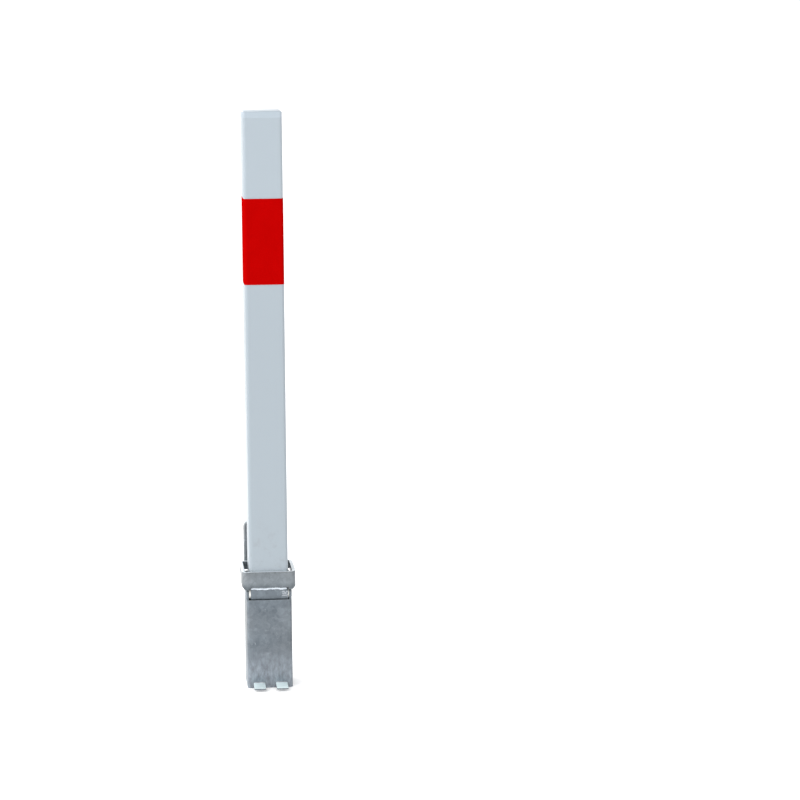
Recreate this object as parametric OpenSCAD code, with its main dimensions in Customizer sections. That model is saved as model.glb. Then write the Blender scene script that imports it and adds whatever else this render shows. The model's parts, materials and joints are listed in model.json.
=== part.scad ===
// Folding parking post: a square post hinged in a ground sleeve and locked
// upright by a lifting collar. Millimetres, +Z up, front is -Y, and the origin
// is the bottom centre of the ground sleeve.

/* [Ground sleeve] */
// Outer width of the square ground sleeve
sleeve_w = 70; // [70:0.5:71]
// Wall of the ground sleeve
sleeve_wall = 4; // [3.5:0.5:4.5]
// Height of the cut-down front wall
front_wall_h = 138.5; // [110:0.5:160]
// Height of the hinge ears above the front wall
ear_rise = 33.5; // [30:0.5:36]
// Thickness of the bottom plate
base_plate_t = 3; // [2:0.5:4]
// Width of one anchor claw
claw_w = 18; // [12:1:22]
// Reach of one anchor claw from the sleeve
claw_reach = 28; // [20:1:35]
// Distance of each claw's centre line from the middle
claw_offset = 17.25; // [13:0.25:20]

/* [Post] */
// Outer width of the square post
post_w = 60; // [59:0.5:60]
// Wall of the post
post_wall = 3; // [2:0.5:4]
// Height of the whole object
total_h = 890; // [700:5:1100]
// Height of the top cap's visible head
cap_head_h = 10; // [6:1:15]
// Distance from the top of the post to the reflective band
band_drop = 132; // [60:1:180]
// Height of the reflective band
band_h = 131; // [60:1:160]

/* [Hinge] */
// Diameter of the hinge pin
pin_d = 10; // [8:0.5:10]
// Depth of the hinge block
block_w = 16; // [16:0.5:17]
// Height of the pin's axis above the front wall
pin_rise = 8.5; // [8.5:0.5:9.5]

/* [Collar] */
// Height of the locking collar's front
collar_h = 28; // [26:1:30]
// Wall of the locking collar
collar_wall = 5; // [4:0.5:6]
// Height of the locking collar's rear strap
strap_h = 13; // [11:1:15]
// Gap between the post and the collar's rear strap
rear_gap = 22; // [21:0.5:23]
// Diameter of the bail's rod
rod_d = 6; // [5:0.5:7]
// Height of the bail above the collar
bail_rise = 66; // [55:1:68]
// Diameter of the padlock hole
padlock_hole_d = 9; // [6:0.5:9]

/* [Hidden] */
$fn = 64;

// Finishes
galvanised = [0.58, 0.62, 0.66];
white_coat = [0.80, 0.84, 0.88];
red_sheet = [0.78, 0.02, 0.02];
nylon = [0.93, 0.93, 0.90];
tiny = 0.01;
wide = 200;

// Sleeve
sleeve_half = sleeve_w / 2;
sleeve_corner_r = 5;
ear_top = front_wall_h + ear_rise;
ear_front_y = -28.5;
ear_corner = 6;
ear_cut = 4.5;
ear_cut_rise = 3;
drain_r = 6;
drain_offset = 18;

// Hinge
pin_y = -22;
pin_z = front_wall_h + pin_rise;
pin_r = pin_d / 2;
block_half = block_w / 2;
block_reach = post_w / 2 - 0.3;
block_corner_r = 2.5;
block_drop = 1.5;
bush_wall = 1;
bush_depth = 14;
left_flange_t = 2.5;
right_flange_t = 1;
bush_flange_r = block_half - 0.4;
running_gap = 0.05;

// Collar at rest
collar_z = pin_z + block_half;
collar_gap_front = 0.3;
collar_inner_half = sleeve_half + 1.5;
collar_inner_front = -post_w / 2 - collar_gap_front;
collar_inner_rear = post_w / 2 + rear_gap;
collar_mid_y = (collar_inner_front + collar_inner_rear) / 2;
collar_inner_d = collar_inner_rear - collar_inner_front;
collar_outer_rear = collar_inner_rear + collar_wall;
collar_outer_r = 10;
collar_inner_r = 1.5;
collar_chamfer = 4.5;
collar_notch_h = 3.5;
collar_notch_half = 30;
strap_z = collar_z + collar_h - strap_h;
strap_start_y = 9;
strap_slope = 10;

// Locking dog behind the sleeve, inside the collar's rear strap
dog_t = 12;
dog_drop = 32;
dog_root_z = ear_top - dog_drop;
dog_rise = 8;
dog_gap = 0.5;
dog_taper = 2.2;
rest_gap = 0.2;
rest_t = 5;

// Post
post_half = post_w / 2;
post_corner_r = 5;
foot_plate_t = 4;
post_z = pin_z + block_half + foot_plate_t;
post_top = total_h - cap_head_h;
cap_skirt_h = 18;
cap_skirt_wall = 2;
cap_skirt_gap = 0.1;
cap_edge = 1.5;
band_t = 0.4;
band_z = total_h - band_drop - band_h;
web_t = 6;
web_offset = 19;
web_len = 34;
web_drop = 11;

// Bail
rod_r = rod_d / 2;
bail_half = 31;
bail_bend_r = 9;
bail_y = collar_outer_rear + rod_r;
bail_foot_z = strap_z + 0.5;
bail_bar_z = collar_z + collar_h + bail_rise - rod_r;
bail_bend_z = bail_bar_z - bail_bend_r;

// Padlock lug, just above the bail's crossbar
lug_t = 6;
lug_r = 7.5;
lug_hole_y = post_half + 14;
lug_hole_z = collar_z + collar_h + bail_rise + 10;

// Claws
claw_t = 3;
claw_root_z = 5.5;
claw_fall = 2;
claw_nose = 1;

// 2-D square with rounded corners, centred
module rounded_square(w, d, r) {
    square([w - 2 * r, d], center = true);
    square([w, d - 2 * r], center = true);
    for (x = [-1, 1], y = [-1, 1])
        translate([x * (w / 2 - r), y * (d / 2 - r)]) circle(r);
}

// Extrudes a 2-D outline drawn in (Y, Z) along X, centred on X = 0
module along_x(length) {
    rotate([90, 0, 90]) translate([0, 0, -length / 2]) linear_extrude(length) children();
}

// Extrudes a 2-D outline drawn in (X, Z) along Y, centred on Y = 0
module along_y(length) {
    rotate([90, 0, 0]) translate([0, 0, -length / 2]) linear_extrude(length) children();
}

// Cylinder along X round the hinge axis, between two X positions
module hinge_round(r, x0, x1) {
    translate([x0, pin_y, pin_z]) rotate([0, 90, 0]) cylinder(r = r, h = x1 - x0);
}

// Side outline of the sleeve: low front wall, high ears and rear wall
module sleeve_outline() {
    cut_z = pin_z + ear_cut_rise;
    cut_y = ear_front_y + ear_cut;
    polygon([
        [-wide / 2, base_plate_t],
        [wide / 2, base_plate_t],
        [wide / 2, ear_top],
        [cut_y + ear_corner, ear_top],
        [cut_y, ear_top - ear_corner],
        [cut_y, cut_z + ear_cut],
        [ear_front_y, cut_z],
        [ear_front_y, front_wall_h],
        [-wide / 2, front_wall_h]
    ]);
}

module base_plate() {
    color(galvanised) difference() {
        linear_extrude(base_plate_t) rounded_square(sleeve_w, sleeve_w, sleeve_corner_r);
        for (x = [-1, 1])
            translate([x * drain_offset, 0, -1]) cylinder(r = drain_r, h = base_plate_t + 2);
    }
}

module ground_sleeve() {
    inner_w = sleeve_w - 2 * sleeve_wall;
    color(galvanised) difference() {
        intersection() {
            linear_extrude(ear_top) difference() {
                rounded_square(sleeve_w, sleeve_w, sleeve_corner_r);
                rounded_square(inner_w, inner_w, 1);
            }
            along_x(wide) sleeve_outline();
        }
        hinge_round(pin_r, -wide / 2, wide / 2);
    }
}

// One claw, welded to the front wall: side is -1 for left and 1 for right
module front_claw(side) {
    color(galvanised) translate([side * claw_offset, 0, 0]) along_x(claw_w) polygon([
        [-sleeve_half, claw_root_z],
        [-sleeve_half, claw_root_z + claw_t],
        [-sleeve_half - claw_reach + claw_nose, claw_root_z + claw_t - claw_fall],
        [-sleeve_half - claw_reach, claw_root_z + claw_t - claw_fall - claw_nose],
        [-sleeve_half - claw_reach, claw_root_z - claw_fall]
    ]);
}

module front_left_claw() { front_claw(-1); }
module front_right_claw() { front_claw(1); }
module rear_left_claw() { mirror([0, 1, 0]) front_claw(-1); }
module rear_right_claw() { mirror([0, 1, 0]) front_claw(1); }

// Plate on the sleeve's back: the strap lands on its step and locks round its nose
module locking_dog() {
    rest_z = strap_z - rest_gap;
    nose_y = collar_inner_rear - dog_gap;
    color(galvanised) along_x(dog_t) polygon([
        [sleeve_half, dog_root_z],
        [sleeve_half, ear_top - ear_corner],
        [sleeve_half + dog_rise / 2, rest_z + dog_rise],
        [nose_y - dog_taper, rest_z + dog_rise],
        [nose_y, rest_z],
        [collar_outer_rear, rest_z],
        [collar_outer_rear, rest_z - rest_t]
    ]);
}

module hinge_pin() {
    color(galvanised) hinge_round(pin_r, -sleeve_half, sleeve_half);
}

// Flanged bush on the left; its flange ends just short of the ear
module bush(flange_t) {
    face_x = -block_reach - right_flange_t;
    color(nylon) difference() {
        union() {
            hinge_round(pin_r + bush_wall, face_x, face_x + flange_t + bush_depth);
            hinge_round(bush_flange_r, face_x, face_x + flange_t);
        }
        hinge_round(pin_r + running_gap, -wide / 2, wide / 2);
    }
}

module left_bush() { bush(left_flange_t); }
module right_bush() { mirror([1, 0, 0]) bush(right_flange_t); }

// Bored bar across the post's foot, shorter on the left for the thicker flange
module hinge_block() {
    left_cut = left_flange_t - right_flange_t;
    color(galvanised) difference() {
        translate([left_cut / 2, 0, 0]) along_x(2 * block_reach - left_cut)
            translate([pin_y, pin_z - block_drop / 2])
                rounded_square(block_w, block_w + block_drop, block_corner_r);
        hinge_round(pin_r + bush_wall, -wide / 2, wide / 2);
    }
}

// Closing plate under the post, on top of the hinge block
module foot_plate() {
    color(galvanised) translate([0, 0, post_z - foot_plate_t])
        linear_extrude(foot_plate_t) rounded_square(post_w, post_w, post_corner_r);
}

// Stiffening web between the foot plate and the back of the hinge block
module web(side) {
    back_y = pin_y + block_half;
    plate_z = post_z - foot_plate_t;
    color(galvanised) translate([side * web_offset, 0, 0]) along_x(web_t) polygon([
        [back_y, plate_z],
        [back_y + web_len, plate_z],
        [back_y, plate_z - web_drop]
    ]);
}

module left_web() { web(-1); }
module right_web() { web(1); }

module post_tube() {
    inner_w = post_w - 2 * post_wall;
    color(white_coat) translate([0, 0, post_z]) linear_extrude(post_top - post_z) difference() {
        rounded_square(post_w, post_w, post_corner_r);
        rounded_square(inner_w, inner_w, post_corner_r - post_wall);
    }
}

// Side outline of the cap's head, with its top edge chamfered
module cap_outline() {
    polygon([
        [-post_half, post_top],
        [post_half, post_top],
        [post_half, total_h - cap_edge],
        [post_half - cap_edge, total_h],
        [-post_half + cap_edge, total_h],
        [-post_half, total_h - cap_edge]
    ]);
}

module top_cap() {
    skirt_w = post_w - 2 * post_wall - 2 * cap_skirt_gap;
    skirt_in = skirt_w - 2 * cap_skirt_wall;
    color(white_coat) {
        intersection() {
            translate([0, 0, post_top])
                linear_extrude(cap_head_h) rounded_square(post_w, post_w, post_corner_r);
            along_x(wide) cap_outline();
            along_y(wide) cap_outline();
        }
        translate([0, 0, post_top - cap_skirt_h]) linear_extrude(cap_skirt_h + tiny) difference() {
            rounded_square(skirt_w, skirt_w, post_corner_r - post_wall);
            rounded_square(skirt_in, skirt_in, 1);
        }
    }
}

module reflective_band() {
    band_w = post_w + 2 * band_t;
    color(red_sheet) translate([0, 0, band_z]) linear_extrude(band_h) difference() {
        rounded_square(band_w, band_w, post_corner_r + band_t);
        rounded_square(post_w, post_w, post_corner_r);
    }
}

module padlock_lug() {
    slope = lug_r * cos(45);
    color(white_coat) difference() {
        union() {
            translate([-lug_t / 2, lug_hole_y, lug_hole_z])
                rotate([0, 90, 0]) cylinder(r = lug_r, h = lug_t);
            along_x(lug_t) polygon([
                [post_half, lug_hole_z - lug_r],
                [lug_hole_y, lug_hole_z - lug_r],
                [lug_hole_y, lug_hole_z],
                [lug_hole_y + slope, lug_hole_z + slope],
                [post_half, lug_hole_z + slope + lug_hole_y + slope - post_half]
            ]);
        }
        translate([-wide / 2, lug_hole_y, lug_hole_z])
            rotate([0, 90, 0]) cylinder(r = padlock_hole_d / 2, h = wide);
    }
}

// Flat-bar collar: tall round the front, a low strap behind, and a notch for the weld
module collar_ring() {
    outer_half = collar_inner_half + collar_wall;
    outer_d = collar_inner_d + 2 * collar_wall;
    outer_front = collar_inner_front - collar_wall;
    color(galvanised) difference() {
        translate([0, collar_mid_y, collar_z]) linear_extrude(collar_h) difference() {
            rounded_square(2 * outer_half, outer_d, collar_outer_r);
            rounded_square(2 * collar_inner_half, collar_inner_d, collar_inner_r);
        }
        for (side = [-1, 1]) along_y(wide) polygon([
            [side * (outer_half - collar_chamfer - 1), collar_z - 1],
            [side * (outer_half + 1), collar_z - 1],
            [side * (outer_half + 1), collar_z + collar_chamfer + 1]
        ]);
        along_x(wide) polygon([
            [strap_start_y - 1, collar_z - 1],
            [strap_start_y, collar_z],
            [strap_start_y + strap_slope, strap_z],
            [wide, strap_z],
            [wide, collar_z - 1]
        ]);
        translate([-collar_notch_half, outer_front - 1, collar_z - 1])
            cube([2 * collar_notch_half, collar_wall + 2, collar_notch_h + 1]);
    }
}

// Bent rod: two legs welded to the strap's back, joined by a bar
module lifting_bail() {
    color(galvanised) translate([0, bail_y, 0]) {
        for (side = [0, 1]) mirror([side, 0, 0]) {
            translate([bail_half, 0, bail_foot_z]) cylinder(r = rod_r, h = bail_bend_z - bail_foot_z);
            translate([bail_half - bail_bend_r, 0, bail_bend_z])
                rotate([90, 0, 0]) rotate_extrude(angle = 90)
                    translate([bail_bend_r, 0]) circle(rod_r);
        }
        translate([-bail_half + bail_bend_r, 0, bail_bar_z])
            rotate([0, 90, 0]) cylinder(r = rod_r, h = 2 * (bail_half - bail_bend_r));
    }
}

base_plate();
ground_sleeve();
front_left_claw();
front_right_claw();
rear_left_claw();
rear_right_claw();
locking_dog();
hinge_pin();
left_bush();
right_bush();
hinge_block();
foot_plate();
left_web();
right_web();
post_tube();
top_cap();
reflective_band();
padlock_lug();
collar_ring();
lifting_bail();
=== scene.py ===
"""Folding parking post with a locking collar: materials, welds, soft edges, studio.

Metres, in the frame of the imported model: +Z up, the front is -Y.
"""
import json
import math
import random
from collections import namedtuple

import bmesh
import bpy
from mathutils import Matrix, Vector


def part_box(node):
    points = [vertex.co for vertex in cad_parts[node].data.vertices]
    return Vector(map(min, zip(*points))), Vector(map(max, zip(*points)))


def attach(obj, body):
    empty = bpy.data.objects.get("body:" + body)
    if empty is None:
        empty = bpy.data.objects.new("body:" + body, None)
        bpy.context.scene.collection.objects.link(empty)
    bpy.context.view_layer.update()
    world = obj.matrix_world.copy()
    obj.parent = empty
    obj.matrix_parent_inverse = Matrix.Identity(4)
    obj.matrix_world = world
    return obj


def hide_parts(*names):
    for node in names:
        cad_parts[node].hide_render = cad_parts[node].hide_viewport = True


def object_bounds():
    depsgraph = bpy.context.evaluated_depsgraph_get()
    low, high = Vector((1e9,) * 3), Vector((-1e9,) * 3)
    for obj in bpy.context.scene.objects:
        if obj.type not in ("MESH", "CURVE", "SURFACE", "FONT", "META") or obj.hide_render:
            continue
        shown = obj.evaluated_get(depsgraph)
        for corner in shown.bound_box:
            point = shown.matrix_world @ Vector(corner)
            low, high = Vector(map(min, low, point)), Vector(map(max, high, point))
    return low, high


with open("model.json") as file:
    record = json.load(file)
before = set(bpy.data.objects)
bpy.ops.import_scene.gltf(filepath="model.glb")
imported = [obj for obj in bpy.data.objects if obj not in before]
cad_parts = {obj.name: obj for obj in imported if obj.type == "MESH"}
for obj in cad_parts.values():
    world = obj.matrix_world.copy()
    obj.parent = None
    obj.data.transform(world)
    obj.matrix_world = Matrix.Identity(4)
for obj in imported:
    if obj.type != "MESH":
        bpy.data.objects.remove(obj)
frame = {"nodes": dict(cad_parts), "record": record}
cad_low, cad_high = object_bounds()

MM = 0.001
EDGE_SAMPLES = 4
EDGE_TURN = (0.004, 0.06)       # 1 minus the cosine of the turn at an edge: none of it, all of it
scene = bpy.context.scene


# ---------------------------------------------------------------- node helpers

class Shader:
    """A material with a Principled shader, and short calls to add nodes to it."""

    def __init__(self, name, **sockets):
        self.mat = bpy.data.materials.new(name)
        self.mat.use_nodes = True
        self.nodes = self.mat.node_tree.nodes
        self.links = self.mat.node_tree.links
        self.bsdf = self.nodes["Principled BSDF"]
        for key, value in sockets.items():
            self.bsdf.inputs[key.replace("_", " ")].default_value = value
        coord = self.nodes.new("ShaderNodeTexCoord")
        self.place = coord.outputs["Object"]

    def stretched(self, scale):
        """Object coordinates with a different scale on each axis."""
        node = self.nodes.new("ShaderNodeMapping")
        node.inputs["Scale"].default_value = scale
        self.links.new(self.place, node.inputs["Vector"])
        return node.outputs["Vector"]

    def noise(self, scale, detail, rough=0.55, at=None):
        """Cloudy noise, 0 to 1; scale is in features per metre."""
        node = self.nodes.new("ShaderNodeTexNoise")
        node.inputs["Scale"].default_value = scale
        node.inputs["Detail"].default_value = detail
        node.inputs["Roughness"].default_value = rough
        self.links.new(at or self.place, node.inputs["Vector"])
        return node.outputs["Fac"]

    def cells(self, scale, output, feature="F1"):
        node = self.nodes.new("ShaderNodeTexVoronoi")
        node.feature = feature
        node.inputs["Scale"].default_value = scale
        self.links.new(self.place, node.inputs["Vector"])
        return node.outputs[output]

    def ramp(self, value, *stops):
        """Colour ramp; each stop is (position, (r, g, b))."""
        node = self.nodes.new("ShaderNodeValToRGB")
        points = node.color_ramp.elements
        while len(points) < len(stops):
            points.new(0.5)
        for point, (at, colour) in zip(points, stops):
            point.position = at
            point.color = (*colour, 1)
        self.links.new(value, node.inputs["Fac"])
        return node.outputs["Color"]

    def mask(self, value, low, high):
        """0 below low and 1 above high, as a number."""
        node = self.nodes.new("ShaderNodeMapRange")
        node.interpolation_type = "SMOOTHSTEP"
        node.inputs["From Min"].default_value = low
        node.inputs["From Max"].default_value = high
        self.links.new(value, node.inputs["Value"])
        return node.outputs["Result"]

    def spread(self, value, low, high):
        """Maps 0..1 to low..high."""
        node = self.nodes.new("ShaderNodeMapRange")
        node.inputs["To Min"].default_value = low
        node.inputs["To Max"].default_value = high
        self.links.new(value, node.inputs["Value"])
        return node.outputs["Result"]

    def maths(self, operation, a, b):
        """One sum on two values; each is a socket or a number."""
        node = self.nodes.new("ShaderNodeMath")
        node.operation = operation
        for socket, value in zip(node.inputs, (a, b)):
            if isinstance(value, (int, float)):
                socket.default_value = value
            else:
                self.links.new(value, socket)
        return node.outputs["Value"]

    def mix(self, factor, a, b, blend="MIX"):
        """Mixes two colours; a colour may be a socket or (r, g, b)."""
        node = self.nodes.new("ShaderNodeMix")
        node.data_type = "RGBA"
        node.blend_type = blend
        if isinstance(factor, (int, float)):
            node.inputs["Factor"].default_value = factor
        else:
            self.links.new(factor, node.inputs["Factor"])
        colours = [socket for socket in node.inputs if socket.type == "RGBA"]
        for socket, value in zip(colours, (a, b)):
            if isinstance(value, tuple):
                socket.default_value = (*value, 1)
            else:
                self.links.new(value, socket)
        return next(socket for socket in node.outputs if socket.type == "RGBA")

    def facing_up(self, low, high):
        """1 on surfaces that face up in the piece's own frame."""
        coord = self.nodes.new("ShaderNodeTexCoord")
        split = self.nodes.new("ShaderNodeSeparateXYZ")
        self.links.new(coord.outputs["Normal"], split.inputs["Vector"])
        return self.mask(split.outputs["Z"], low, high)

    def edges(self, radius):
        """1 along convex and concave edges, within radius of them."""
        bevel = self.nodes.new("ShaderNodeBevel")
        bevel.samples = EDGE_SAMPLES
        bevel.inputs["Radius"].default_value = radius
        plain = self.nodes.new("ShaderNodeNewGeometry")
        dot = self.nodes.new("ShaderNodeVectorMath")
        dot.operation = "DOT_PRODUCT"
        self.links.new(bevel.outputs["Normal"], dot.inputs[0])
        self.links.new(plain.outputs["Normal"], dot.inputs[1])
        return self.mask(self.maths("SUBTRACT", 1.0, dot.outputs["Value"]), *EDGE_TURN)

    def height(self):
        """Height above the ground, in metres, at rest."""
        node = self.nodes.new("ShaderNodeSeparateXYZ")
        self.links.new(self.place, node.inputs["Vector"])
        return node.outputs["Z"]

    def bump(self, *layers):
        """Each layer is (height socket, strength, distance in metres)."""
        last = None
        for value, strength, distance in layers:
            node = self.nodes.new("ShaderNodeBump")
            node.inputs["Strength"].default_value = strength
            node.inputs["Distance"].default_value = distance
            self.links.new(value, node.inputs["Height"])
            if last:
                self.links.new(last, node.inputs["Normal"])
            last = node.outputs["Normal"]
        self.links.new(last, self.bsdf.inputs["Normal"])

    def put(self, socket, value):
        """Feeds a socket of the Principled shader."""
        self.links.new(value, self.bsdf.inputs[socket])


# ------------------------------------------------------------------- materials

# Foot: colour painted low on a part; painted light on the sleeve, painted shade on the collar
Foot = namedtuple("Foot", "dark light amount start full")
CRYSTALS = 190      # zinc crystals per metre
MATT_METAL = 0.08   # metallic value under the painted top light, in the colour of white oxide


def galvanised(name, dark, light, oxide, rub, foot, top_light_level=0.85, metal=0.55, rough=(0.30, 0.66)):
    """Hot-dip zinc: crystals of different grey, cloudy patches, white bloom and specks.

    dark and light are the crystals' extremes, oxide is the white bloom, rub the strength
    of the streaks, and top_light_level how much painted top light, paler than the oxide,
    lies on surfaces that face up. foot is colour painted low down in drip-like streaks,
    painted light on the sleeve and painted shade on the collar, from none at the height
    start to all at full.
    """
    s = Shader(name, Specular_IOR_Level=0.5)
    warp = s.noise(9, 2)
    one = s.nodes.new("ShaderNodeSeparateColor")
    s.links.new(s.cells(CRYSTALS, "Color"), one.inputs["Color"])
    crystal = one.outputs["Red"]
    cloud = s.noise(22, 5, 0.6)
    fine = s.noise(420, 3, 0.6)
    tone = s.maths("ADD", s.maths("MULTIPLY", crystal, 0.13), s.maths("MULTIPLY", cloud, 0.92))
    tone = s.maths("ADD", tone, s.maths("MULTIPLY", fine, 0.16))
    middle = tuple((a + b) / 2 for a, b in zip(dark, light))
    zinc = s.ramp(tone, (0.34, dark), (0.62, middle), (0.86, light))
    tint = s.ramp(warp, (0.35, (0.92, 0.97, 1.0)), (0.65, (1.0, 0.975, 0.955)))
    zinc = s.mix(1.0, zinc, tint, "MULTIPLY")
    bloom = s.mask(s.noise(38, 6, 0.68), 0.58, 0.78)
    specks = s.mask(s.noise(240, 2, 0.5), 0.72, 0.80)
    colour = s.mix(s.maths("MULTIPLY", bloom, 0.26), zinc, oxide)
    colour = s.mix(s.maths("MULTIPLY", specks, 0.30), colour, oxide)
    # Colour painted by height at the foot: painted light on the sleeve, painted shade on the collar
    foot_streaks = s.noise(1, 4, 0.62, s.stretched((170, 170, 75)))
    foot_colour = s.ramp(foot_streaks, (0.36, foot.dark), (0.64, foot.light))
    sway = s.maths("MULTIPLY", s.maths("SUBTRACT", cloud, 0.5), 0.6 * (foot.start - foot.full))
    reach = s.mask(s.maths("ADD", s.height(), sway), foot.start, foot.full)
    colour = s.mix(s.maths("MULTIPLY", reach, foot.amount), colour, foot_colour)
    streak = s.mask(s.noise(1, 4, 0.6, s.stretched((150, 150, 14))), 0.60, 0.80)
    colour = s.mix(s.maths("MULTIPLY", streak, rub), colour, tuple(c * 0.62 for c in dark))
    worn = s.maths("MULTIPLY", s.edges(1.6 * MM), s.spread(cloud, 0.1, 0.9))
    colour = s.mix(s.maths("MULTIPLY", worn, 0.6), colour, light)
    # Painted top light: faces that point up turn paler and less metallic, towards a paler oxide colour
    top_light_mask = s.maths("MULTIPLY", s.facing_up(0.35, 0.85), s.spread(cloud, top_light_level - 0.15, top_light_level + 0.15))
    colour = s.mix(top_light_mask, colour, tuple(min(1, c * 1.25) for c in oxide))
    s.put("Base Color", colour)
    s.put("Metallic", s.spread(top_light_mask, metal, MATT_METAL))
    dull = s.maths("ADD", s.maths("MULTIPLY", cloud, 0.6), s.maths("MULTIPLY", bloom, 0.4))
    s.put("Roughness", s.spread(dull, *rough))
    s.bump((s.cells(CRYSTALS, "Distance"), 0.06, 0.4 * MM), (cloud, 0.35, 1.2 * MM), (fine, 0.30, 0.25 * MM))
    return s.mat


def bright_zinc(name):
    """Electroplated pin: fine turning marks and a slight yellow tint."""
    s = Shader(name, Metallic=0.9, Roughness=0.32)
    rings = s.noise(1, 3, 0.6, s.stretched((1800, 60, 60)))
    s.put("Base Color", s.ramp(rings, (0.3, (0.50, 0.51, 0.50)), (0.7, (0.68, 0.67, 0.62))))
    s.bump((rings, 0.25, 0.1 * MM))
    return s.mat


# Heights in metres: none of it, all of it
# The first pair is painted shade, greying the post's paint towards the bottom
LOW_SHADE_HEIGHTS = (0.80, 0.55)
GRIME_HEIGHTS = (0.30, 0.16)


def powder_coat(name, base, grime):
    """White powder coat: orange peel, painted shade that greys it low down, grime near the foot, rub marks."""
    s = Shader(name, Roughness=0.34, Coat_Weight=0.12, Coat_Roughness=0.2, Specular_IOR_Level=0.5)
    patch = s.noise(6, 4, 0.6)
    shade = s.ramp(patch, (0.3, tuple(c * 0.975 for c in base)), (0.7, tuple(min(1, c * 1.02) for c in base)))
    # Painted shade: the paint greys towards the bottom of the post
    low_shade = s.maths("MULTIPLY", s.mask(s.height(), *LOW_SHADE_HEIGHTS), s.spread(patch, 0.10, 0.30))
    shade = s.mix(low_shade, shade, tuple(c * 0.72 for c in base))
    low = s.spread(s.mask(s.height(), *GRIME_HEIGHTS), 0, 0.5)
    dirt = s.maths("MULTIPLY", s.mask(s.noise(60, 6, 0.7), 0.48, 0.75), low)
    colour = s.mix(dirt, shade, grime)
    scuff = s.mask(s.noise(1, 5, 0.65, s.stretched((260, 260, 18))), 0.70, 0.78)
    colour = s.mix(s.maths("MULTIPLY", scuff, 0.16), colour, grime)
    s.put("Base Color", colour)
    peel = s.noise(620, 2, 0.5)
    s.bump((peel, 0.10, 0.25 * MM), (s.noise(90, 2, 0.5), 0.06, 0.6 * MM))
    return s.mat


def reflective_red(name):
    """Red retroreflective sheet: tiny cells under a clear top layer, slightly wavy."""
    s = Shader(name, Roughness=0.42, Specular_IOR_Level=0.0)
    cell = s.cells(330, "Distance", "DISTANCE_TO_EDGE")
    web = s.mask(cell, 0.10, 0.02)
    tone = s.ramp(s.noise(14, 4, 0.6), (0.3, (0.352, 0.0005, 0.0005)), (0.7, (0.408, 0.0009, 0.0009)))
    colour = s.mix(s.maths("MULTIPLY", web, 0.20), tone, (0.30, 0.0004, 0.0004))
    s.put("Base Color", colour)
    s.bump((web, 0.12, 0.06 * MM), (s.noise(26, 2, 0.5), 0.25, 0.8 * MM))
    return s.mat


def moulded(name, base, grain, rough):
    """Moulded plastic: fine spark-eroded grain and slight unevenness of colour."""
    s = Shader(name, Roughness=rough)
    tone = s.noise(30, 3, 0.6)
    s.put("Base Color", s.ramp(tone, (0.3, tuple(c * 0.95 for c in base)), (0.7, base)))
    s.bump((s.noise(grain, 2, 0.5), 0.22, 0.15 * MM))
    return s.mat


def weld_metal(name, dark, light, metallic):
    """Galvanised weld seam: the same zinc, lumpier and brighter."""
    s = Shader(name, Metallic=metallic)
    lump = s.noise(160, 4, 0.65)
    s.put("Base Color", s.ramp(lump, (0.3, dark), (0.72, light)))
    s.put("Roughness", s.spread(lump, 0.28, 0.6))
    s.bump((lump, 0.5, 0.8 * MM), (s.noise(700, 2, 0.5), 0.3, 0.2 * MM))
    return s.mat


MATERIALS = {
    "galvanised": galvanised(
        "sleeve_zinc", dark=(0.088, 0.101, 0.116), light=(0.236, 0.262, 0.286), oxide=(0.52, 0.58, 0.62), rub=0.25,
        # foot: painted light, paler towards the bottom of the sleeve
        foot=Foot(dark=(0.170, 0.188, 0.218), light=(0.310, 0.358, 0.404), amount=0.85, start=0.070, full=0.014),
        top_light_level=0.2),
    "galvanised_collar": galvanised(
        "collar_zinc", dark=(0.126, 0.139, 0.149), light=(0.295, 0.311, 0.326), oxide=(0.60, 0.66, 0.70), rub=0.20,
        # foot: painted shade, darker along the collar's lower edge
        foot=Foot(dark=(0.070, 0.086, 0.098), light=(0.110, 0.128, 0.140), amount=0.80, start=0.168, full=0.157),
        metal=0.85, rough=(0.22, 0.48)),
    # The claws' zinc: paler than the sleeve's, with a strong painted top light on faces that point up
    "claw_zinc": galvanised(
        "claw_zinc", dark=(0.110, 0.128, 0.145), light=(0.27, 0.305, 0.335), oxide=(0.66, 0.78, 0.88), rub=0.15,
        # foot: the claws' lowest few millimetres are a little darker
        foot=Foot(dark=(0.110, 0.128, 0.145), light=(0.20, 0.23, 0.26), amount=0.5, start=0.004, full=0.001)),
    "pin_steel": bright_zinc("pin_zinc"),
    "white_coat": powder_coat("white_powder_coat", base=(0.324, 0.373, 0.413), grime=(0.20, 0.20, 0.19)),
    "cap_plastic": moulded("cap_white", base=(0.366, 0.424, 0.474), grain=700, rough=0.42),
    "red_sheet": reflective_red("red_reflective_sheet"),
    "nylon": moulded("natural_nylon", base=(0.82, 0.82, 0.78), grain=900, rough=0.45),
    "weld": weld_metal("zinc_weld", dark=(0.24, 0.26, 0.29), light=(0.58, 0.62, 0.66), metallic=0.5),
    "bright_weld": weld_metal("bright_weld", dark=(0.56, 0.62, 0.69), light=(0.84, 0.90, 0.96), metallic=0.2),
}
SLOT_OF = {row["node"]: row["material_slot"] for row in frame["record"]["subparts"]}
BODY_OF = {node: body for body, nodes in frame["record"]["behaviour"]["bodies"].items() for node in nodes}


def paint(obj, material):
    """Puts one material in every slot of a mesh."""
    slots = obj.data.materials
    if not slots:
        slots.append(material)
    for index in range(len(slots)):
        slots[index] = material


for node_name, node_obj in frame["nodes"].items():
    paint(node_obj, MATERIALS[SLOT_OF[node_name]])


# ------------------------------------------------------------------ new pieces

def smooth_mesh(name, bm):
    """Ends a bmesh as a new mesh that is shaded smooth."""
    mesh = bpy.data.meshes.new(name)
    bm.to_mesh(mesh)
    bm.free()
    for face in mesh.polygons:
        face.use_smooth = True
    return mesh


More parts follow.
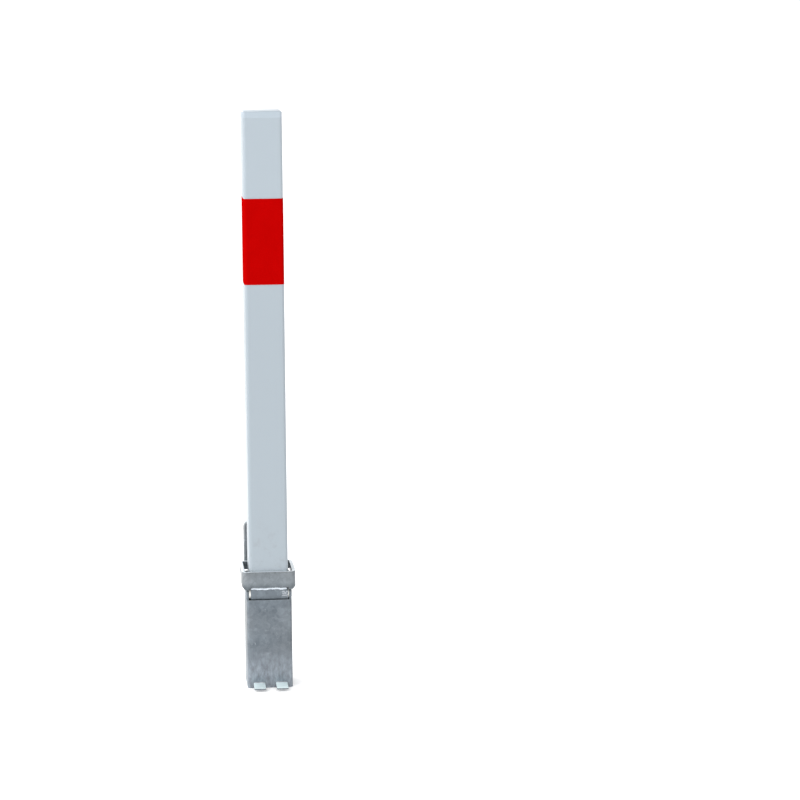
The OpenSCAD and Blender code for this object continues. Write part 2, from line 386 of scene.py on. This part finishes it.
def add_piece(name, mesh, body, slot, material=None):
    """Links a mesh as a piece that rides on a body."""
    obj = bpy.data.objects.new(name, mesh)
    scene.collection.objects.link(obj)
    mesh.materials.clear()
    mesh.materials.append(material or MATERIALS[slot])
    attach(obj, body)
    return obj


FLAT_TURN = math.radians(0.5)   # faces that turn less than this are merged
SAME_POINT = 0.001 * MM


def soften(node, width, segments=3, angle=32, material=None):
    """A copy of a CAD node with its flat faces merged and its sharp edges rounded.

    width is how wide the rounding is, and angle is the least turn in degrees that gets it.
    """
    bm = bmesh.new()
    bm.from_mesh(frame["nodes"][node].data)
    bmesh.ops.remove_doubles(bm, verts=bm.verts, dist=SAME_POINT)
    bmesh.ops.dissolve_limit(bm, angle_limit=FLAT_TURN, verts=bm.verts, edges=bm.edges)
    name = node + "_shell"
    obj = add_piece(name, smooth_mesh(name, bm), BODY_OF[node], SLOT_OF[node], material)
    bevel = obj.modifiers.new("round_edges", "BEVEL")
    bevel.width = width
    bevel.segments = segments
    bevel.limit_method = "ANGLE"
    bevel.angle_limit = math.radians(angle)
    bevel.harden_normals = True
    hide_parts(node)
    return obj


BEAD_PITCH = 2.6 * MM     # from one ripple of a weld to the next
BEAD_SIDES = 10
BEAD_STEP = 0.4 * MM      # how far ahead and behind its direction is read


def bead(name, points, radius, body, slot, up, ripple=0.22, seed=1, closed=False, material=None, squash=0.8):
    """A weld bead along a path: a rounded rope with the scalloped ripples of a weld.

    up is the direction the bead bulges to, squash its height over its width, and ripple
    how deep its ripples are; the half away from up sinks into the metal.
    """
    rng = random.Random(seed)
    pts = [Vector(p) for p in points]
    if closed:
        pts.append(pts[0])
    lengths = [0.0]
    for a, b in zip(pts, pts[1:]):
        lengths.append(lengths[-1] + (b - a).length)
    total = lengths[-1]
    count = max(8, int(total / (BEAD_PITCH / 4)))
    phase = rng.random() * 6
    wobble = [rng.uniform(-1, 1) for _ in range(count + 4)]

    def at(distance):
        distance = min(max(distance, 0), total)
        for i in range(len(pts) - 1):
            if distance <= lengths[i + 1] or i == len(pts) - 2:
                span = max(lengths[i + 1] - lengths[i], 1e-9)
                return pts[i].lerp(pts[i + 1], (distance - lengths[i]) / span)
        return pts[-1]

    bm = bmesh.new()
    rings = []
    steps = count if closed else count + 1
    for k in range(steps):
        along = total * k / count
        here = at(along)
        ahead = at((along + BEAD_STEP) % total if closed else along + BEAD_STEP)
        behind = at((along - BEAD_STEP) % total if closed else along - BEAD_STEP)
        tangent = (ahead - behind).normalized()
        lift = Vector(up)
        lift = (lift - tangent * lift.dot(tangent)).normalized()
        across = tangent.cross(lift)
        scallop = abs(math.sin(math.pi * along / BEAD_PITCH + phase))
        end = 1.0
        if not closed:
            end = min(1.0, math.sqrt(max(0.02, min(along, total - along) / (1.6 * radius))))
        r = radius * end * (1 - ripple + ripple * scallop + 0.06 * wobble[k])
        ring = []
        for j in range(BEAD_SIDES):
            turn = 2 * math.pi * j / BEAD_SIDES
            sideways, outwards = r * math.cos(turn), r * squash * math.sin(turn)
            ring.append(bm.verts.new(here + across * sideways + lift * outwards))
        rings.append(ring)
    pairs = zip(rings, rings[1:] + ([rings[0]] if closed else []))
    for first, second in pairs:
        for j in range(BEAD_SIDES):
            n = (j + 1) % BEAD_SIDES
            bm.faces.new((first[j], second[j], second[n], first[n]))
    if not closed:
        bm.faces.new(rings[0])
        bm.faces.new(list(reversed(rings[-1])))
    bmesh.ops.recalc_face_normals(bm, faces=bm.faces)
    return add_piece(name, smooth_mesh(name, bm), body, slot, material or MATERIALS["weld"])


CLAWS = ("front_left_claw", "front_right_claw", "rear_left_claw", "rear_right_claw")

# Edges of the plain CAD solids, rounded as a folded, sawn or dipped part is
soften("ground_sleeve", 0.7 * MM)
soften("collar_ring", 1.1 * MM, 4)
soften("base_plate", 0.5 * MM, 2)
soften("foot_plate", 0.6 * MM, 2)
soften("hinge_block", 0.5 * MM, 2, angle=60)
soften("top_cap", 0.5 * MM, 3, angle=40)
soften("padlock_lug", 0.8 * MM, 3)
soften("locking_dog", 0.8 * MM, 2)
for claw in CLAWS:
    soften(claw, 0.6 * MM, 3, material=MATERIALS["claw_zinc"])
for web in ("left_web", "right_web"):
    soften(web, 0.5 * MM, 2)

# ------------------------------------------------------------------- weld seams

sleeve_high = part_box("ground_sleeve")[1]
ring_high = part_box("collar_ring")[1]
bail_low, bail_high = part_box("lifting_bail")
block_low, block_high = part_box("hinge_block")
lug_low, lug_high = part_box("padlock_lug")
dog_low, dog_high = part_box("locking_dog")
pin_low, pin_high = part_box("hinge_pin")
band_low, band_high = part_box("reflective_band")
pin_y = (pin_low[1] + pin_high[1]) / 2
pin_z = (pin_low[2] + pin_high[2]) / 2


def claw_seams():
    """Two beads on each claw, above and below its root."""
    claw_t, sink, inset = 3 * MM, 0.4 * MM, 1 * MM
    for claw in CLAWS:
        low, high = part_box(claw)
        front = claw.startswith("front")
        face = high[1] if front else low[1]
        out = -1 if front else 1
        seam_y = face + out * sink
        for place, z, lift in (("top", high[2], 1), ("under", high[2] - claw_t, -1)):
            ends = [(low[0] + inset, seam_y, z), (high[0] - inset, seam_y, z)]
            bead(f"{claw}_weld_{place}", ends, 1.1 * MM, "ground", "galvanised", (0, out, lift),
                 seed=len(claw) + lift)


def block_seams():
    """The wavy front seam between hinge block and foot plate, and a plain one behind.

    The front seam stays flat, because the folded post brings it close to the sleeve's wall.
    """
    reach = block_high[0] - 1.4 * MM
    front_y, front_z = block_low[1] + 0.25 * MM, block_high[2] + 0.5 * MM
    steps = 40
    front = []
    for i in range(steps + 1):
        x = -reach + 2 * reach * i / steps
        wave = 0.35 * math.sin(x / MM * 0.21) + 0.25 * math.sin(x / MM * 0.53 + 1)
        front.append((x, front_y, front_z + wave * MM))
    bead("block_weld_front", front, 1.85 * MM, "post", "galvanised", (0, -1, 0), ripple=0.26, seed=4,
         material=MATERIALS["bright_weld"], squash=0.35)
    rear_y, rear_z = block_high[1] + 0.4 * MM, block_high[2] - 0.4 * MM
    bead("block_weld_rear", [(-reach, rear_y, rear_z), (reach, rear_y, rear_z)],
         1.6 * MM, "post", "galvanised", (0, 1, -1), seed=5)


def block_spatter():
    """Weld spatter that stuck to the front of the hinge block's right end."""
    rng = random.Random(21)
    drops = 46
    bm = bmesh.new()
    for _ in range(drops):
        size = rng.uniform(0.35, 1.1) * MM
        x = block_high[0] - rng.uniform(0.8, 9.5) * MM
        z = block_high[2] - rng.uniform(4.0, 11.5) * MM
        place = Matrix.Translation((x, block_low[1] + 0.1 * MM, z))
        shape = Matrix.Diagonal((size * rng.uniform(0.8, 1.5), size * 0.5, size, 1))
        bmesh.ops.create_icosphere(bm, subdivisions=2, radius=1, matrix=place @ shape)
    add_piece("block_spatter", smooth_mesh("block_spatter", bm), "post", "galvanised", MATERIALS["weld"])


def band_overlap():
    """The end of the reflective sheet, lapped over its start behind the post."""
    half, thick, rows = 7 * MM, 0.3 * MM, 24
    x0, y0 = 9 * MM, band_high[1]
    ragged = 0.15
    rng = random.Random(3)
    bm = bmesh.new()
    columns = []
    for i in range(rows + 1):
        z = band_low[2] + (band_high[2] - band_low[2]) * i / rows
        edge = x0 + half + rng.uniform(-ragged, ragged) * MM
        outline = ((x0 - half, y0 - thick), (x0 - half, y0 + thick * 0.2), (x0 - half + 3 * thick, y0 + thick),
                   (edge - thick, y0 + thick), (edge, y0 + thick * 0.5), (edge, y0 - thick))
        columns.append([bm.verts.new((x, y, z)) for x, y in outline])
    for first, second in zip(columns, columns[1:]):
        for j in range(len(outline)):
            n = (j + 1) % len(outline)
            bm.faces.new((first[j], first[n], second[n], second[j]))
    bm.faces.new(columns[0])
    bm.faces.new(list(reversed(columns[-1])))
    bmesh.ops.recalc_face_normals(bm, faces=bm.faces)
    mesh = bpy.data.meshes.new("band_overlap")
    bm.to_mesh(mesh)
    bm.free()
    add_piece("band_overlap", mesh, "post", "red_sheet")


def pin_seams():
    """A ring of weld round each end of the pin, ground nearly flush."""
    radius = (pin_high[2] - pin_low[2]) / 2
    around = 32
    for name, x in (("left", pin_low[0]), ("right", pin_high[0])):
        points = []
        for i in range(around):
            turn = 2 * math.pi * i / around
            points.append((x, pin_y + radius * math.cos(turn), pin_z + radius * math.sin(turn)))
        bead(f"pin_weld_{name}", points, 1.3 * MM, "ground", "galvanised", (math.copysign(1, x), 0, 0),
             closed=True, seed=6, squash=0.45)


def bail_seams():
    """Beads down both sides of each bail foot."""
    rod_r, spread = 3.0 * MM, 1.9 * MM
    seam_y = ring_high[1] + 0.5 * MM
    for name, x in (("left", bail_low[0]), ("right", bail_high[0])):
        centre = x - math.copysign(rod_r, x)
        for side in (-1, 1):
            seam_x = centre + side * spread
            place = "inner" if side * x < 0 else "outer"
            ends = [(seam_x, seam_y, bail_low[2] + 1 * MM), (seam_x, seam_y, ring_high[2] - 2.5 * MM)]
            bead(f"bail_weld_{name}_{place}", ends, 1.5 * MM, "collar", "galvanised_collar", (side, 1, 0),
                 seed=8 + side)


def lug_seams():
    """Painted seams on both sides of the padlock lug."""
    for side, name in ((-1, "left"), (1, "right")):
        x, y = side * lug_high[0], lug_low[1] + 0.3 * MM
        ends = [(x, y, lug_low[2] + 1.5 * MM), (x, y, lug_high[2] - 1.5 * MM)]
        bead(f"lug_weld_{name}", ends, 1.6 * MM, "post", "white_coat", (side, 1, 0), seed=11,
             material=MATERIALS["white_coat"])


def dog_seams():
    """Seams down both sides of the locking dog."""
    for side, name in ((-1, "left"), (1, "right")):
        x, y = side * dog_high[0], dog_low[1] + 0.3 * MM
        ends = [(x, y, dog_low[2] + 2 * MM), (x, y, sleeve_high[2] - 8 * MM)]
        bead(f"dog_weld_{name}", ends, 1.7 * MM, "ground", "galvanised", (side, 1, 0), seed=12)


claw_seams()
block_seams()
block_spatter()
band_overlap()
pin_seams()
bail_seams()
lug_seams()
dog_seams()


# ----------------------------------------------------------------------- camera

# Degrees for the angles, metres for the rest; FRAME_WIDTH is what the picture spans at the object
EYE_AZIMUTH = -3.2
EYE_DISTANCE = 4.5
EYE_HEIGHT = 1.11
AIM_RIGHT = 0.2078
AIM_HEIGHT = 0.4425
VIEW_ROLL = -0.45
FRAME_WIDTH = 1.2195
SENSOR = 36.0       # millimetres


def place_camera():
    """A long lens a little above and left of the object, aimed past its right side."""
    azimuth = math.radians(EYE_AZIMUTH)
    right = Vector((math.cos(azimuth), math.sin(azimuth), 0))
    back = Vector((math.sin(azimuth), -math.cos(azimuth), 0))
    eye = back * EYE_DISTANCE + Vector((0, 0, EYE_HEIGHT))
    aim = right * AIM_RIGHT + Vector((0, 0, AIM_HEIGHT))
    turn = (aim - eye).to_track_quat("-Z", "Y").to_matrix().to_4x4()
    data = bpy.data.cameras.new("camera")
    data.sensor_width = SENSOR
    data.lens = SENSOR * EYE_DISTANCE / FRAME_WIDTH
    data.clip_end = 100
    camera = bpy.data.objects.new("camera", data)
    camera.matrix_world = Matrix.Translation(eye) @ turn @ Matrix.Rotation(math.radians(VIEW_ROLL), 4, "Z")
    scene.collection.objects.link(camera)
    scene.camera = camera


place_camera()


# ----------------------------------------------------------------------- studio

def area_light(name, where, at, size, power, colour=(1, 1, 1)):
    """A rectangular soft box at one point, turned to another; power is in watts."""
    data = bpy.data.lights.new(name, "AREA")
    data.shape = "RECTANGLE"
    data.size, data.size_y = size
    data.energy = power
    data.color = colour
    light = bpy.data.objects.new(name, data)
    light.location = where
    light.rotation_mode = "QUATERNION"
    light.rotation_quaternion = (Vector(at) - Vector(where)).to_track_quat("-Z", "Y")
    scene.collection.objects.link(light)


FLOOR_SIZE = 80

# Brightness of the white world from its left (0) to its right (1), as a part of WORLD_MAX
WORLD_STEPS = ((0.0, 1.0), (0.05, 0.80), (0.12, 0.43), (0.3, 0.325), (0.5, 0.315), (0.75, 0.268), (0.9, 0.14),
               (1.0, 0.035))
WORLD_MAX = 3.5


def studio():
    """White world, a pale floor and three soft boxes."""
    world = bpy.data.worlds.new("studio")
    scene.world = world
    world.use_nodes = True
    nodes, links = world.node_tree.nodes, world.node_tree.links
    background = nodes["Background"]
    coord = nodes.new("ShaderNodeTexCoord")
    split = nodes.new("ShaderNodeSeparateXYZ")
    links.new(coord.outputs["Generated"], split.inputs["Vector"])
    across = nodes.new("ShaderNodeMapRange")
    across.inputs["From Min"].default_value = -1
    across.inputs["From Max"].default_value = 1
    links.new(split.outputs["X"], across.inputs["Value"])
    fade = nodes.new("ShaderNodeValToRGB")
    points = fade.color_ramp.elements
    while len(points) < len(WORLD_STEPS):
        points.new(0.5)
    for point, (at, level) in zip(points, WORLD_STEPS):
        point.position = at
        point.color = (level, level, level, 1)
    links.new(across.outputs["Result"], fade.inputs["Fac"])
    gain = nodes.new("ShaderNodeMapRange")
    gain.inputs["To Max"].default_value = WORLD_MAX
    links.new(fade.outputs["Color"], gain.inputs["Value"])
    links.new(gain.outputs["Result"], background.inputs["Strength"])
    background.inputs["Color"].default_value = (1.0, 1.0, 1.0, 1)

    bpy.ops.mesh.primitive_plane_add(size=FLOOR_SIZE, location=(0, 0, cad_low[2]))
    floor = bpy.context.object
    floor.name = "floor"
    s = Shader("floor_white", Roughness=0.9, Specular_IOR_Level=0.1, Emission_Color=(1, 1, 1, 1),
               Emission_Strength=0.22)
    s.put("Base Color", s.ramp(s.noise(3, 2), (0.3, (0.95, 0.95, 0.95)), (0.7, (0.96, 0.96, 0.96))))
    paint(floor, s.mat)

    area_light("key", where=(-1.8, -2.4, 2.2), at=(0, 0, 0.45), size=(1.4, 1.8), power=33)
    area_light("fill", where=(2.2, -2.0, 1.2), at=(0, 0, 0.4), size=(1.2, 1.6), power=9, colour=(0.96, 0.98, 1.0))
    area_light("rim", where=(-0.6, 2.4, 1.8), at=(0, 0, 0.5), size=(1.4, 1.2), power=18)
    scene.view_settings.view_transform = "Standard"


studio()
